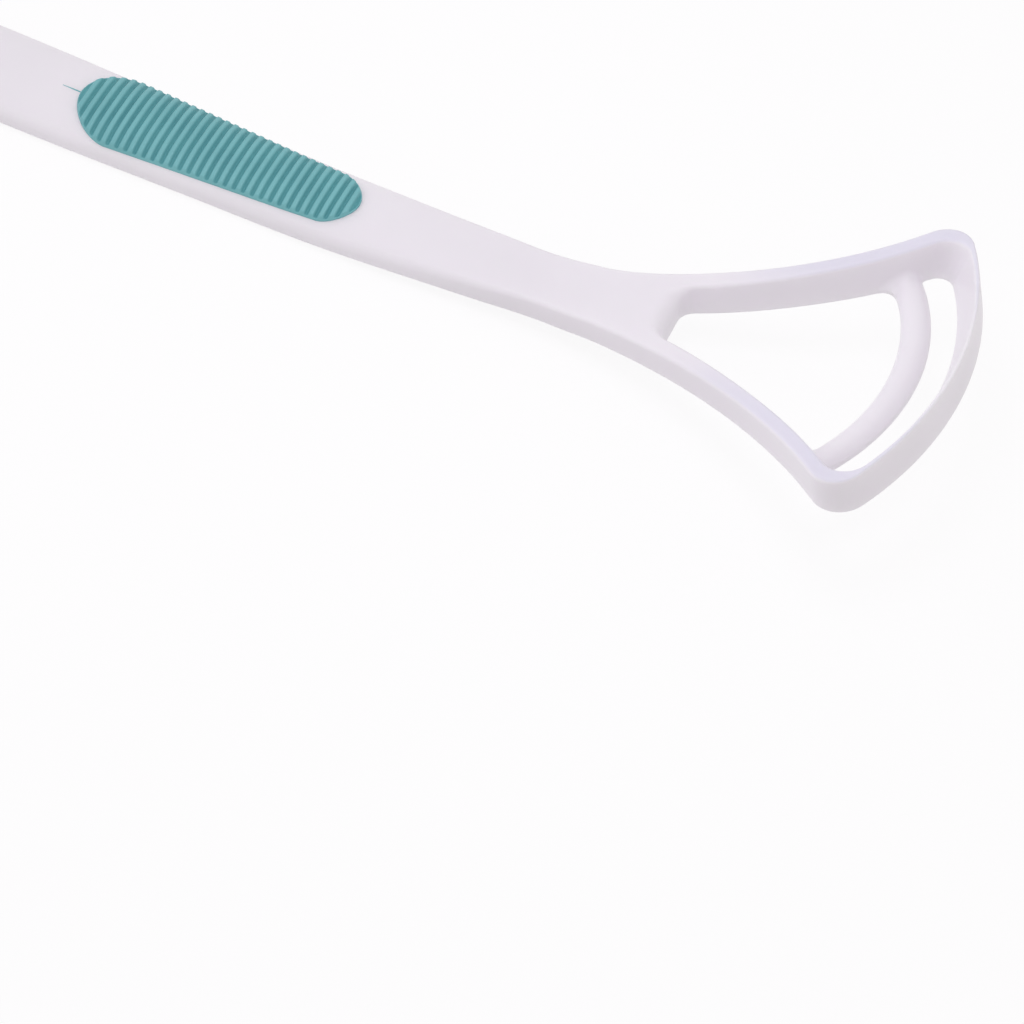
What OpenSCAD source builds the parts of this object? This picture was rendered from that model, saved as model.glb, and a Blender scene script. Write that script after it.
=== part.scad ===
// Tongue scraper, a two-shot moulding. A stiff white moulding carries the handle,
// the neck and a fan-shaped head: two arms, a round bar low between them and a thin
// curved blade at the front. A soft ribbed pad fills a pocket in the handle's crown.
// +X runs from the tail to the head, +Y to the left, +Z up. The grip's flat
// underside lies at Z = 0, and the head rises in front of it.

/* [Handle] */
// Length of the straight grip, from the round tail to the middle of its upward curve
grip_length = 86; // [70:1:120]
// Width of the grip where it is widest, behind the pad
grip_width = 12.8; // [11.8:0.1:15]
// Width of the grip at the root of its round tail
tail_width = 10.4; // [8:0.1:13]
// Length over which the tail rounds off
tail_length = 5.6; // [3:0.1:10]
// Thickness of the grip on its centre line
grip_thickness = 3.7; // [3.4:0.1:6]
// Rise of the crown across the grip's upper face
crown_rise = 0.95; // [0.1:0.05:1]
// Round along the grip's upper edges
upper_round = 1.9; // [0.8:0.1:2]
// Round along the grip's lower edges
lower_round = 0.8; // [0.4:0.1:1.2]

/* [Neck] */
// Length of the neck, from the middle of the grip's curve to the bend at the head
neck_length = 35.6; // [24:0.2:50]
// Angle by which the neck climbs from the grip
neck_climb = 3.2; // [1:0.2:10]
// Length of the curve that joins the grip to the neck
neck_curve = 13; // [6:1:16]
// Width of the neck at the bend, where it begins to widen into the arms
neck_width = 8.7; // [7:0.1:10]
// Thickness of the neck at the bend
neck_thickness = 3.2; // [2.2:0.1:3.6]

/* [Head] */
// Angle by which the head climbs from the neck
head_climb = 9.8; // [2:0.2:20]
// Angle by which the head goes on to curl up, from the bend to the blade
head_curl = 4; // [0:0.5:10]
// Length of the bend between neck and head
bend_length = 18.5; // [3:0.5:20]
// Length of the solid web, from the bend to the crotch between the arms
web_length = 10; // [8:0.5:16]
// Reach of the arms and the blade beyond the crotch
head_reach = 35.1; // [31:0.1:40]
// Width across the arms at their ends, where the corners begin
head_width = 37.4; // [32:0.2:40]
// Reach of the arms' outer sides beyond the crotch, to where the corners begin
arm_reach = 23.4; // [19:0.2:25]
// Angle at which each arm splays out at its end
arm_splay = 40.4; // [32:0.2:48]
// Thickness of an arm near the corner, seen from above
arm_wall = 2; // [1.4:0.1:2.3]
// Thickness that an arm gains toward the crotch
arm_gain = 0.3; // [0:0.1:0.8]
// What an arm's inner wall leans in over the blade's height, its moulding draft
arm_draft = 0.9; // [0:0.1:1.1]
// Round of the crotch between the arms
crotch_round = 2; // [1:0.1:2.6]
// Round outside the two front corners
corner_round = 3.6; // [3:0.1:4.5]
// Angle by which the rim thins out faster than the blade curves, past each corner
corner_release = 25; // [5:1:40]
// Round along the outer edges of the head
edge_round = 0.3; // [0.1:0.05:0.5]

/* [Blade] */
// Height of the blade at the front
blade_height = 5.3; // [5:0.1:8]
// Radius of the blade's outer face
blade_radius = 38; // [34:0.2:46]
// Radius of the blade's inner face, at its foot
blade_inner_radius = 33; // [31:0.1:36]
// Thickness of the blade at its foot
blade_foot = 2.9; // [2:0.1:3.4]
// Thickness of the blade's scraping edge
blade_edge = 0.4; // [0.3:0.05:1]

/* [Bar] */
// Gap between the foot of the blade and the bar
slot_width = 2.6; // [1.8:0.1:3.6]
// Width of the round bar
bar_width = 3.4; // [2.4:0.1:4.2]
// Height of the round bar
bar_height = 1.6; // [1.3:0.1:2.6]
// Height of the bar's flat foot above the underside of the arms
bar_lift = 0.1; // [0.05:0.05:0.5]
// Radius of the bar's round back
bar_back = 1.9; // [1.7:0.1:2.6]
// Radius of the bar's centre line
bar_radius = 24.8; // [22:0.2:34]
// Depth to which the bar's ends run into the arms
bar_root = 0.8; // [0.3:0.1:1.1]

/* [Pad] */
// Length of the pad
pad_length = 36.6; // [26:0.1:44]
// Width of the pad's rear end
pad_rear_width = 11.5; // [8:0.1:11.6]
// Width of the pad's front end
pad_front_width = 7.6; // [5:0.1:8.4]
// Distance by which the pad's front end runs past the middle of the grip's curve
pad_lead = 6.2; // [-6:0.1:8]
// Height of the pocket's floor above the underside
pocket_floor = 2; // [1.4:0.1:2.4]
// Height of the pad's rim above the white crown
pad_proud = 0.2; // [0.05:0.05:0.4]
// Number of ribs
rib_count = 31; // [20:1:36]
// Height of a rib above the pad's rim
rib_height = 0.4; // [0.2:0.05:0.8]
// Width of the smooth border round the ribs
pad_border = 0.7; // [0.3:0.1:1.5]
// Width of the feed line behind the pad
feed_width = 0.3; // [0.2:0.05:0.6]
// Length of the feed line behind the pad
feed_length = 2.6; // [1:0.1:5]
// Height of the feed line above the white crown
feed_proud = 0.08; // [0.04:0.02:0.2]
// Depth of the groove that the feed line fills
feed_depth = 0.4; // [0.2:0.05:0.8]

/* [Hidden] */
$fn = 96;
// How far each cut runs past the face that it opens
overrun = 1;

// Places along the spine, measured on the underside from the tail
s_bend = grip_length + neck_length;
s_crotch = s_bend + web_length;
s_front = s_crotch + head_reach;
// Knots of the spine, with the angle at each: straight, curve, straight, bend, slow curl
knots = [
    0, grip_length - neck_curve / 2, grip_length + neck_curve / 2,
    s_bend - bend_length / 2, s_bend + bend_length / 2, s_front
];
head_angle = neck_climb + head_climb;
angles = [0, 0, neck_climb, neck_climb, head_angle, head_angle + head_curl];

// One stretch of the spine: a straight line, or an arc where its angle changes
function stretch(p, a0, a1, len) =
    abs(a1 - a0) < 1e-6 ? p + len * [cos(a0), sin(a0)]
    : let (r = len / (a1 - a0) * 180 / PI)
      p + r * [sin(a1) - sin(a0), cos(a0) - cos(a1)];
// The place of each knot
function knot_place(i) =
    i == 0 ? [0, 0]
    : stretch(knot_place(i - 1), angles[i - 1], angles[i], knots[i] - knots[i - 1]);
places = [for (i = [0:len(knots) - 1]) knot_place(i)];
function span_of(s, i = 0) =
    i < len(knots) - 2 && s > knots[i + 1] ? span_of(s, i + 1) : i;
function angle_at(s) =
    let (i = span_of(s), u = (s - knots[i]) / (knots[i + 1] - knots[i]))
    angles[i] + (angles[i + 1] - angles[i]) * u;
function spine_at(s) =
    let (i = span_of(s)) stretch(places[i], angles[i], angle_at(s), s - knots[i]);

// The origin lies under the middle of the part's length
mid_x = spine_at(s_front).x / 2;

// A smooth step from 0 to 1, and a smooth curve through a table of pairs
function ease(u) = let (v = min(1, max(0, u))) v * v * (3 - 2 * v);
function steep(t, i) =
    let (a = max(0, i - 1), b = min(len(t) - 1, i + 1))
    (t[b].y - t[a].y) / (t[b].x - t[a].x);
function piece_of(t, x, i = 0) = i < len(t) - 2 && x > t[i + 1].x ? piece_of(t, x, i + 1) : i;
function smooth(t, x) =
    let (i = piece_of(t, x), h = t[i + 1].x - t[i].x, u = (x - t[i].x) / h)
    (1 + 2 * u) * pow(1 - u, 2) * t[i].y + u * pow(1 - u, 2) * h * steep(t, i)
    + u * u * (3 - 2 * u) * t[i + 1].y + u * u * (u - 1) * h * steep(t, i + 1);

// Width from the widest station to the bend: share of the way, and share of what the
// grip is wider than the neck. The share below zero is the neck's waist.
fore_share = [
    [0, 0.98], [0.22, 0.94], [0.45, 0.67], [0.66, 0.49], [0.84, 0.07], [0.93, -0.16], [1, 0]
];
// The widest station lies this share of the grip's length from the tail
wide_share = 0.4;
s_wide = wide_share * grip_length;
function grip_half(s) =
    s < s_wide
    ? tail_width / 2 + (grip_width - tail_width) / 2 * ease(s / s_wide)
    : neck_width / 2 + (grip_width - neck_width) / 2
        * smooth(fore_share, (s - s_wide) / (s_bend - s_wide));

// Outer side of an arm: one smooth curve from the bend to the corner, with x measured
// from the crotch. It leaves at the neck's own slope and ends at the arm's splay angle.
leave_share = 0.45;
arrive_share = 1.43;
arm_start = [-web_length, neck_width / 2];
arm_end = [arm_reach, head_width / 2];
leave_slope = (grip_width - neck_width) / 2 / (s_bend - s_wide)
    * steep(fore_share, len(fore_share) - 1);
leave = leave_share * (arm_reach + web_length) * [1, leave_slope];
arrive = arrive_share * (arm_reach + web_length) * [cos(arm_splay), sin(arm_splay)];
function arm_at(t) =
    (1 + 2 * t) * pow(1 - t, 2) * arm_start + t * pow(1 - t, 2) * leave
    + t * t * (3 - 2 * t) * arm_end + t * t * (t - 1) * arrive;
function arm_way(t) =
    let (v = 6 * t * (1 - t) * (arm_end - arm_start) + (1 - t) * (1 - 3 * t) * leave
             + t * (3 * t - 2) * arrive)
    v / norm(v);
// Where the arm's curve passes a given x
function arm_t(x, lo = 0, hi = 1, n = 24) =
    let (mid = (lo + hi) / 2)
    n == 0 ? mid : arm_at(mid).x < x ? arm_t(x, mid, hi, n - 1) : arm_t(x, lo, mid, n - 1);
function along(a) = [cos(a), sin(a)];

// Front corner: a round that touches the arm's end line and the blade's outer circle
blade_centre = [head_reach - blade_radius, 0];
corner_q = arm_end + corner_round * along(arm_splay - 90) - blade_centre;
corner_b = corner_q * along(arm_splay);
corner_c = corner_q * corner_q - pow(blade_radius - corner_round, 2);
corner_run = -corner_b + sqrt(corner_b * corner_b - corner_c);
corner_centre = blade_centre + corner_q + corner_run * along(arm_splay);
corner_ray = corner_centre - blade_centre;
corner_angle = atan2(corner_ray.y, corner_ray.x);

// Half the plan outline from the tail to the front, as [place along the spine, half width]
tail_steps = 9;
grip_steps = 34;
arm_steps = 26;
corner_steps = 12;
blade_steps = 18;
tail_part = [
    for (i = [1:tail_steps])
        let (a = 90 * i / tail_steps, s = tail_length * (1 - cos(a)))
        [s, grip_half(s) * sin(a)]
];
grip_part = [
    for (i = [1:grip_steps])
        let (s = tail_length + (s_bend - tail_length) * i / grip_steps) [s, grip_half(s)]
];
arm_part = [
    for (i = [1:arm_steps]) let (p = arm_at(i / arm_steps)) [p.x + s_crotch, p.y]
];
corner_part = [
    for (i = [0:corner_steps])
        let (a = arm_splay + 90 + (corner_angle - arm_splay - 90) * i / corner_steps,
             p = corner_centre + corner_round * along(a))
        [p.x + s_crotch, p.y]
];
blade_part = [
    for (i = [1:blade_steps])
        let (p = blade_centre + blade_radius * along(corner_angle * (1 - i / (blade_steps + 1))))
        [p.x + s_crotch, p.y]
];
outline = concat(tail_part, grip_part, arm_part, corner_part, blade_part);

// Section of the white moulding at a place along the spine
function toward_neck(s) = ease((s - grip_length) / neck_length);
function thick_at(s) =
    s < s_bend
    ? grip_thickness + (neck_thickness - grip_thickness)
        * ease((s - grip_length + neck_curve) / (neck_length + neck_curve))
    : neck_thickness + (blade_height - neck_thickness) * (s - s_bend) / (s_front - s_bend);
// Power of the crown's profile: flat in the middle, falling off toward its edges
crown_power = 3;
function crown_at(s) = crown_rise * (1 - toward_neck(s));
function upper_at(s) = upper_round + (edge_round - upper_round) * toward_neck(s);
function lower_at(s) = lower_round + (edge_round - lower_round) * toward_neck(s);
// Near the tail's end the upper and lower faces round off too
function tail_drop(s, r) = s < r ? r - sqrt(r * r - pow(r - s, 2)) : 0;

// An edge's round takes at most this share of half the width
edge_share = 0.8;
// Parts of the upper face: [edge arc's centre y, z, its radius, crown's half width, its foot]
function top_of(s, half) =
    let (r = min(upper_at(s), half * edge_share), c = crown_at(s) * min(1, half / grip_half(s)),
         t = thick_at(s) - tail_drop(s, upper_round),
         y0 = half - r, lean = atan(crown_power * c / max(y0, r)),
         ye = y0 + r * sin(lean), zc = t - c - r * cos(lean))
    [y0, zc, r, ye, t - c, c, lean];
function top_z(s, half, y) =
    let (q = top_of(s, half))
    abs(y) <= q[3] ? q[4] + q[5] * (1 - pow(abs(y) / q[3], crown_power))
    : q[1] + sqrt(max(0, q[2] * q[2] - pow(abs(y) - q[0], 2)));

low_steps = 3;
high_steps = 5;
crown_steps = 8;
function section(s, half) =
    let (q = top_of(s, half), rb = min(lower_at(s), half * edge_share), zb = tail_drop(s, lower_round))
    concat(
        [for (i = [0:low_steps])
            let (a = -90 + 90 * i / low_steps) [half - rb + rb * cos(a), zb + rb + rb * sin(a)]],
        [for (i = [0:high_steps])
            let (a = (90 - q[6]) * i / high_steps) [q[0] + q[2] * cos(a), q[1] + q[2] * sin(a)]],
        [for (i = [1:crown_steps - 1])
            let (y = q[3] * (1 - 2 * i / crown_steps)) [y, top_z(s, half, y)]],
        [for (i = [high_steps:-1:0])
            let (a = (90 - q[6]) * i / high_steps) [-q[0] - q[2] * cos(a), q[1] + q[2] * sin(a)]],
        [for (i = [low_steps:-1:0])
            let (a = -90 + 90 * i / low_steps) [-half + rb - rb * cos(a), zb + rb + rb * sin(a)]]
    );
// A point of a section, set on the spine
function on_spine(s, y, z) =
    let (p = spine_at(s), a = angle_at(s)) [p.x - z * sin(a) - mid_x, y, p.y + z * cos(a)];

// A closed skin through rings of points
module skin(rings) {
    n = len(rings[0]);
    m = len(rings);
    polyhedron(
        points = [for (r = rings) each r],
        faces = concat(
            [[for (j = [0:n - 1]) j]],
            [[for (j = [n - 1:-1:0]) (m - 1) * n + j]],
            [for (i = [0:m - 2], j = [0:n - 1])
                [i * n + j, (i + 1) * n + (j + 1) % n, i * n + (j + 1) % n]],
            [for (i = [0:m - 2], j = [0:n - 1])
                [i * n + j, (i + 1) * n + j, (i + 1) * n + (j + 1) % n]]
        )
    );
}

// What lies in the head is drawn flat, with x from the crotch, and set on the curled
// spine at the place given
module at_head(s) {
    p = spine_at(s);
    translate([p.x - mid_x, 0, p.y]) rotate([0, -angle_at(s), 0])
        translate([s_crotch - s, 0, 0]) children();
}

// The opening inside the arms: crotch, arms, corners and the line that leaves each corner
gain_share = 0.6;
crotch_steps = 8;
function side_wall(x, wall) = wall + arm_gain * (1 - ease(x / (gain_share * arm_reach)));
function inner_side(t, wall) =
    let (p = arm_at(t), d = arm_way(t)) p + side_wall(p.x, wall) * [d.y, -d.x];
function opening_half(wall) =
    let (t0 = arm_t(crotch_round), d = arm_way(t0), p0 = inner_side(t0, wall), a0 = atan2(d.y, d.x),
         yc = p0.y + (crotch_round - p0.x) * tan(a0) - crotch_round / cos(a0),
         rc = corner_round - wall, a1 = corner_angle + corner_release,
         last = corner_centre + rc * along(a1),
         reach = (head_reach + overrun - last.x) / sin(a1))
    concat(
        [for (i = [0:crotch_steps]) let (a = 180 - (90 - a0) * i / crotch_steps)
            [crotch_round, yc] + crotch_round * along(a)],
        [for (i = [0:2 * arm_steps])
            inner_side(t0 + (1 - t0) * i / (2 * arm_steps), wall)],
        [for (i = [1:corner_steps])
            corner_centre
            + rc * along(arm_splay + 90 + (a1 - arm_splay - 90) * i / corner_steps)],
        [last + reach * along(a1 - 90)]
    );
s_arms = s_crotch + arm_reach / 2;
// The opening's whole plan at a height, as a ring of points
function opening_ring(z, wall) =
    let (h = opening_half(wall + arm_draft * (1 - z / blade_height)))
    concat(
        [for (p = h) [p.x, p.y, z]],
        [for (i = [len(h) - 1:-1:0]) [h[i].x, -h[i].y, z]]
    );
module opening(wall, low, high) {
    skin([opening_ring(high, wall), opening_ring(low, wall)]);
}

// Inner face of the blade: a cone that leans out to the scraping edge
inner_centre = head_reach - blade_foot - blade_inner_radius;
lean_rate = (blade_foot - blade_edge) / blade_height;
module blade_cone() {
    translate([inner_centre, 0, -overrun])
        cylinder(
            r1 = blade_inner_radius - lean_rate * overrun,
            r2 = blade_inner_radius + lean_rate * (blade_height + overrun),
            h = blade_height + 2 * overrun, $fn = 240
        );
}
module head_opening() {
    intersection() {
        at_head(s_arms) opening(arm_wall, -overrun, blade_height + overrun);
        at_head(s_front) blade_cone();
    }
}

// The bar: a flat foot with a round back, swept about its own centre
bar_outer = head_reach - blade_foot - slot_width;
bar_centre = bar_outer - bar_width / 2 - bar_radius;
module bar() {
    intersection() {
        translate([bar_centre, 0, 0]) rotate_extrude($fn = 180) translate([bar_radius, 0])
            intersection() {
                translate([0, bar_height - bar_back]) circle(r = bar_back, $fn = 72);
                translate([-bar_width / 2, bar_lift]) square([bar_width, bar_height]);
            }
        opening(arm_wall - bar_root, 0, bar_height);
    }
}

// Plan of the pad: a tapered strip with full round ends, as [place, half width]
pad_front = grip_length + pad_lead;
pad_rear = pad_front - pad_length;
rear_r = pad_rear_width / 2;
front_r = pad_front_width / 2;
pad_end_steps = 9;
rib_pitch = (pad_length - 2 * pad_border) / rib_count;
// Power of the ends' outline, a little squarer than a circle's
end_power = 1.8;
function pad_half(s) =
    let (w = rear_r + (front_r - rear_r) * (s - pad_rear) / pad_length,
         e = min(1, (s - pad_rear) / rear_r, (pad_front - s) / front_r))
    w * pow(1 - pow(1 - e, end_power), 1 / end_power);
// Stations along the pad: each rib has a crest, a groove and two flanks
flank_share = [0, 0.22, 0.5, 0.78];
rear_border_share = [0.06, 0.36, 0.66];
front_border_share = [1, 0.69, 0.37, 0.06];
pad_stations = concat(
    [for (u = rear_border_share) pad_rear + pad_border * u],
    [for (i = [0:rib_count - 1], u = flank_share) pad_rear + pad_border + rib_pitch * (i + u)],
    [for (u = front_border_share) pad_front - pad_border * u]
);
across = 12;
function pad_x(s) = spine_at(s).x - mid_x;
// Height of the ribs: a round wave that fades out over the smooth border
function rib_wave(s) =
    let (u = (s - pad_rear - pad_border) / rib_pitch)
    u < 0 || u > rib_count ? 0 : (1 - cos(360 * u)) / 2;
fade_share = [0.2, 0.75];
function rib_fade(s, y) =
    let (d = min(pad_half(s) - abs(y), s - pad_rear, pad_front - s) / pad_border)
    ease((d - fade_share[0]) / (fade_share[1] - fade_share[0]));
// The section leans with the spine, so the crown's height is read at the same place
function crown_z(s, y) =
    let (q = top_z(s, grip_half(s), y)) spine_at(s).y + q * cos(angle_at(s));
function pad_z(s, y) = crown_z(s, y) + pad_proud + rib_height * rib_wave(s) * rib_fade(s, y);
module pad_plan() {
    polygon(concat(
        [for (s = pad_stations) [pad_x(s), pad_half(s)]],
        [for (i = [len(pad_stations) - 1:-1:0])
            [pad_x(pad_stations[i]), -pad_half(pad_stations[i])]]
    ));
}
module pad_skin() {
    skin([
        for (s = pad_stations)
            let (h = pad_half(s), x = pad_x(s))
            concat(
                [[x, -h, pocket_floor], [x, h, pocket_floor]],
                [for (j = [0:across]) let (y = h * cos(180 * j / across)) [x, y, pad_z(s, y)]]
            )
    ]);
}
// The feed line: a thin strip on the crown's middle, behind the pad
feed_start = pad_rear - feed_length;
module feed(z0, z1) {
    x0 = pad_x(feed_start);
    x1 = pad_x(pad_rear + pad_border);
    translate([x0, -feed_width / 2, z0]) cube([x1 - x0, feed_width, z1 - z0]);
}
feed_bottom = grip_thickness - feed_depth;
feed_top = grip_thickness + feed_proud;

module body() {
    color("#ece9ee") union() {
        difference() {
            skin([
                for (p = outline)
                    [for (q = section(p.x, p.y)) on_spine(p.x, q.x, q.y)]
            ]);
            head_opening();
            translate([0, 0, pocket_floor]) linear_extrude(grip_thickness) pad_plan();
            feed(feed_bottom, grip_thickness + overrun);
        }
        at_head(s_crotch + bar_centre + bar_radius) bar();
    }
}

module grip_pad() {
    color("#5fb3b3") union() {
        pad_skin();
        feed(feed_bottom, feed_top);
    }
}

body();
grip_pad();
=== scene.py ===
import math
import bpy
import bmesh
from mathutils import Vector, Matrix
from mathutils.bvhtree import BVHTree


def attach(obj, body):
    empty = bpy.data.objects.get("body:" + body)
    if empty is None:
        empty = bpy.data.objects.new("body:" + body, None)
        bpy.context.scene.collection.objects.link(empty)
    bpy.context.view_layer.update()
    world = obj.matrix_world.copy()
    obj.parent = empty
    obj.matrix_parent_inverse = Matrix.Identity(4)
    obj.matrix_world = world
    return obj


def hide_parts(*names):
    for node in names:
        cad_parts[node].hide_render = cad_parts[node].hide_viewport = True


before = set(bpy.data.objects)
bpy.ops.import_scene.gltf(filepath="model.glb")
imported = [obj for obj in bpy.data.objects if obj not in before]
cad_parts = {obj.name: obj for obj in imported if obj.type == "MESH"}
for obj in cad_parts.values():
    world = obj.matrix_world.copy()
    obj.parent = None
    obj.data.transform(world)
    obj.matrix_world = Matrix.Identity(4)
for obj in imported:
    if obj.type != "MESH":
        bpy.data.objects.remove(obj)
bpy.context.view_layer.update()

# %% [markdown]
# # A tongue scraper, moulded in two shots
# The white moulding is a handle, a neck and a fan-shaped head: two arms, a round bar
# low between them and a thin curved blade. A soft teal pad with cross ribs lies in the
# handle's crown. Both are rebuilt here with the soft edges, fillets and surface of real
# mouldings.
#
# Every sheet of surface is a grid that one function lays in its place. A grid could
# also be extruded ring by ring, but the head forks: with sheets, each patch keeps its
# own simple rule, neighbours share their border exactly, and the borders are welded
# afterwards.

# %% [markdown]
# ## Sizes
# All sizes are in millimetres and degrees. They are those of the solid model, but for
# the pad: its soft edge ends 0.2 to 0.3 mm short of the solid one at either end, where
# the photo shows it, and its border is thinner. The lengths along the tool come first,
# and every other size stands where it is first needed.

MM = 0.001
GRIP_LENGTH, NECK_LENGTH, WEB_LENGTH, HEAD_REACH = 86.0, 35.6, 10.0, 35.1
S_BEND = GRIP_LENGTH + NECK_LENGTH
S_CROTCH = S_BEND + WEB_LENGTH
S_FRONT = S_CROTCH + HEAD_REACH
print("spine length", round(S_FRONT, 1), "mm")

# %% [markdown]
# ## The spine
# The tool is drawn straight, as (place along the spine, y, z), and one function sets a
# point on the curved spine: straight grip, slow curve, straight neck, bend, curling
# head. Working straight keeps every section simple, and the bend can't crease a wall.

# %% Stretches of the spine, each one straight or an arc
NECK_CLIMB, HEAD_CLIMB, HEAD_CURL = 3.2, 9.8, 4.0
NECK_CURVE, BEND_LENGTH = 13.0, 18.5
HEAD_TILT = NECK_CLIMB + HEAD_CLIMB
KNOTS = [0, GRIP_LENGTH - NECK_CURVE / 2, GRIP_LENGTH + NECK_CURVE / 2,
         S_BEND - BEND_LENGTH / 2, S_BEND + BEND_LENGTH / 2, S_FRONT]
TURNS = [math.radians(a) for a in (0, 0, NECK_CLIMB, NECK_CLIMB, HEAD_TILT,
                                   HEAD_TILT + HEAD_CURL)]
STRETCHES = range(len(KNOTS) - 1)
NO_TURN = 1e-9


def stretch(x, z, a0, a1, run):
    """The far end of a stretch that starts at (x, z) and turns from a0 to a1."""
    if abs(a1 - a0) < NO_TURN:
        return x + run * math.cos(a0), z + run * math.sin(a0)
    r = run / (a1 - a0)
    return x + r * (math.sin(a1) - math.sin(a0)), z + r * (math.cos(a0) - math.cos(a1))


PLACES = [(0.0, 0.0)]
for i in STRETCHES:
    run = KNOTS[i + 1] - KNOTS[i]
    PLACES.append(stretch(*PLACES[-1], TURNS[i], TURNS[i + 1], run))
print("the spine ends at", [round(v, 1) for v in PLACES[-1]], "mm")


# %% A point on the spine
def spine(s):
    """Place and angle of the spine at a distance s from the tail."""
    i = max(k for k in STRETCHES if k == 0 or s > KNOTS[k])
    run = s - KNOTS[i]
    a = TURNS[i] + (TURNS[i + 1] - TURNS[i]) * run / (KNOTS[i + 1] - KNOTS[i])
    return (*stretch(*PLACES[i], TURNS[i], a, run), a)


MID_X = spine(S_FRONT)[0] / 2


def on_spine(s, y, z):
    x, h, a = spine(s)
    return Vector((x - z * math.sin(a) - MID_X, y, h + z * math.cos(a))) * MM


print("head angle at the front", round(math.degrees(spine(S_FRONT)[2]), 1))


# %% Small helpers: steps and mixes, and directions in plan
def ease(u):
    """A smooth step from 0 to 1."""
    u = min(1, max(0, u))
    return u * u * (3 - 2 * u)


def rise(value, start, span):
    """A smooth step that begins at start and is done a span later."""
    return ease((value - start) / span)


def mix(a, b, u):
    return a + (b - a) * u


def along(deg):
    return Vector((math.cos(math.radians(deg)), math.sin(math.radians(deg))))


def right_of(d):
    return Vector((d.y, -d.x))


print("a smooth step passes", [round(ease(i / 4), 2) for i in range(5)])

# %% [markdown]
# ## Width and section of the grip and neck
# The grip tapers through a smooth table of shares to a waist, and begins to widen
# before the bend, so that neck and arm are one line. Its section has a crown between
# two round edges; towards the bend the crown flattens and the edges sharpen, as on the
# photo, where a crisp crease starts beside the neck.


# %% Smooth curves
def flow(a, leave, b, arrive, u):
    """A curve from a to b that leaves and arrives in the given ways."""
    return ((1 + 2 * u) * (1 - u) ** 2 * a + u * (1 - u) ** 2 * leave
            + u * u * (3 - 2 * u) * b + u * u * (u - 1) * arrive)


def steep(table, k):
    """The slope at row k of a table, from the rows beside it."""
    a, b = max(0, k - 1), min(len(table) - 1, k + 1)
    return (table[b][1] - table[a][1]) / (table[b][0] - table[a][0])


def through(table, x):
    """The smooth curve through a table's rows, read at x."""
    i = 0
    while i < len(table) - 2 and x > table[i + 1][0]:
        i += 1
    (x0, y0), (x1, y1) = table[i], table[i + 1]
    h = x1 - x0
    return flow(y0, h * steep(table, i), y1, h * steep(table, i + 1), (x - x0) / h)


print("half way from 0 to 1, flat at both ends:", flow(0, 0, 1, 0, 0.5))

# %% Width of the grip
GRIP_WIDTH, NECK_WIDTH, TAIL_WIDTH, WIDE_SHARE = 12.8, 8.7, 10.4, 0.4
FORE_SHARES = [(0, 0.98), (0.22, 0.94), (0.45, 0.67), (0.66, 0.49), (0.84, 0.07),
               (0.93, -0.16), (1, 0)]
S_WIDE = WIDE_SHARE * GRIP_LENGTH


def grip_half(s):
    if s < S_WIDE:
        return mix(TAIL_WIDTH, GRIP_WIDTH, ease(s / S_WIDE)) / 2
    share = through(FORE_SHARES, (s - S_WIDE) / (S_BEND - S_WIDE))
    return mix(NECK_WIDTH, GRIP_WIDTH, share) / 2


print("half widths at tail, widest place and bend:",
      [round(grip_half(s), 2) for s in (0, S_WIDE, S_BEND)])

# %% Thickness, and the rounds of the edges
GRIP_THICK, NECK_THICK, BLADE_HEIGHT = 3.7, 3.2, 5.3
UPPER_ROUND, LOWER_ROUND, RIM_ROUND, FOOT_ROUND = 1.9, 0.8, 0.5, 0.3


def toward_neck(s):
    return ease((s - GRIP_LENGTH) / NECK_LENGTH)


def thick(s):
    if s < S_BEND:
        u = ease((s - GRIP_LENGTH + NECK_CURVE) / (NECK_LENGTH + NECK_CURVE))
        return mix(GRIP_THICK, NECK_THICK, u)
    return mix(NECK_THICK, BLADE_HEIGHT, (s - S_BEND) / (S_FRONT - S_BEND))


def upper_round(s):
    return mix(UPPER_ROUND, RIM_ROUND, toward_neck(s))


def lower_round(s):
    return mix(LOWER_ROUND, FOOT_ROUND, toward_neck(s))


def tail_drop(s, r):
    """How much the round of the tail takes off the thickness at s."""
    return r - math.sqrt(r * r - (r - s) ** 2) if s < r else 0


print("thickness at tail, bend and front:",
      [round(thick(s), 2) for s in (0, S_BEND, S_FRONT)])

# %% Crown and upper edges
CROWN_RISE, CROWN_POWER = 0.95, 3
ROUND_LIMIT = 0.8


def top_parts(s, half):
    """Centre and radius of the edge's round, where the crown begins and how high its
    foot is, the crown's rise, and its lean where it meets the round."""
    r = min(upper_round(s), half * ROUND_LIMIT)
    c = CROWN_RISE * (1 - toward_neck(s)) * min(1, half / grip_half(s))
    foot = thick(s) - tail_drop(s, UPPER_ROUND) - c
    lean = math.atan(CROWN_POWER * c / max(half - r, r))
    y0 = half - r
    return y0, foot - r * math.cos(lean), r, y0 + r * math.sin(lean), foot, c, lean


def top_z(s, half, y):
    y0, zc, r, ye, foot, c, _ = top_parts(s, half)
    if abs(y) <= ye:
        return foot + c * (1 - (abs(y) / ye) ** CROWN_POWER)
    return zc + math.sqrt(max(0, r * r - (abs(y) - y0) ** 2))


print("the crown is", round(top_z(S_WIDE, grip_half(S_WIDE), 0), 2),
      "mm high at the widest place")

# %% [markdown]
# ## Plan of the head
# The arm's outer side is one curve from the bend to the corner. The inner side is
# offset from it by the wall, more at the foot than at the rim (the mould's draft).
# Between an arm and the blade's circle sits a round. Outside it follows from one
# equation, because the arm's end is straight; inside the arm is a curve, so a solver
# looks for the place where the round fits. The wall stays true wherever the sizes go.

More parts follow.
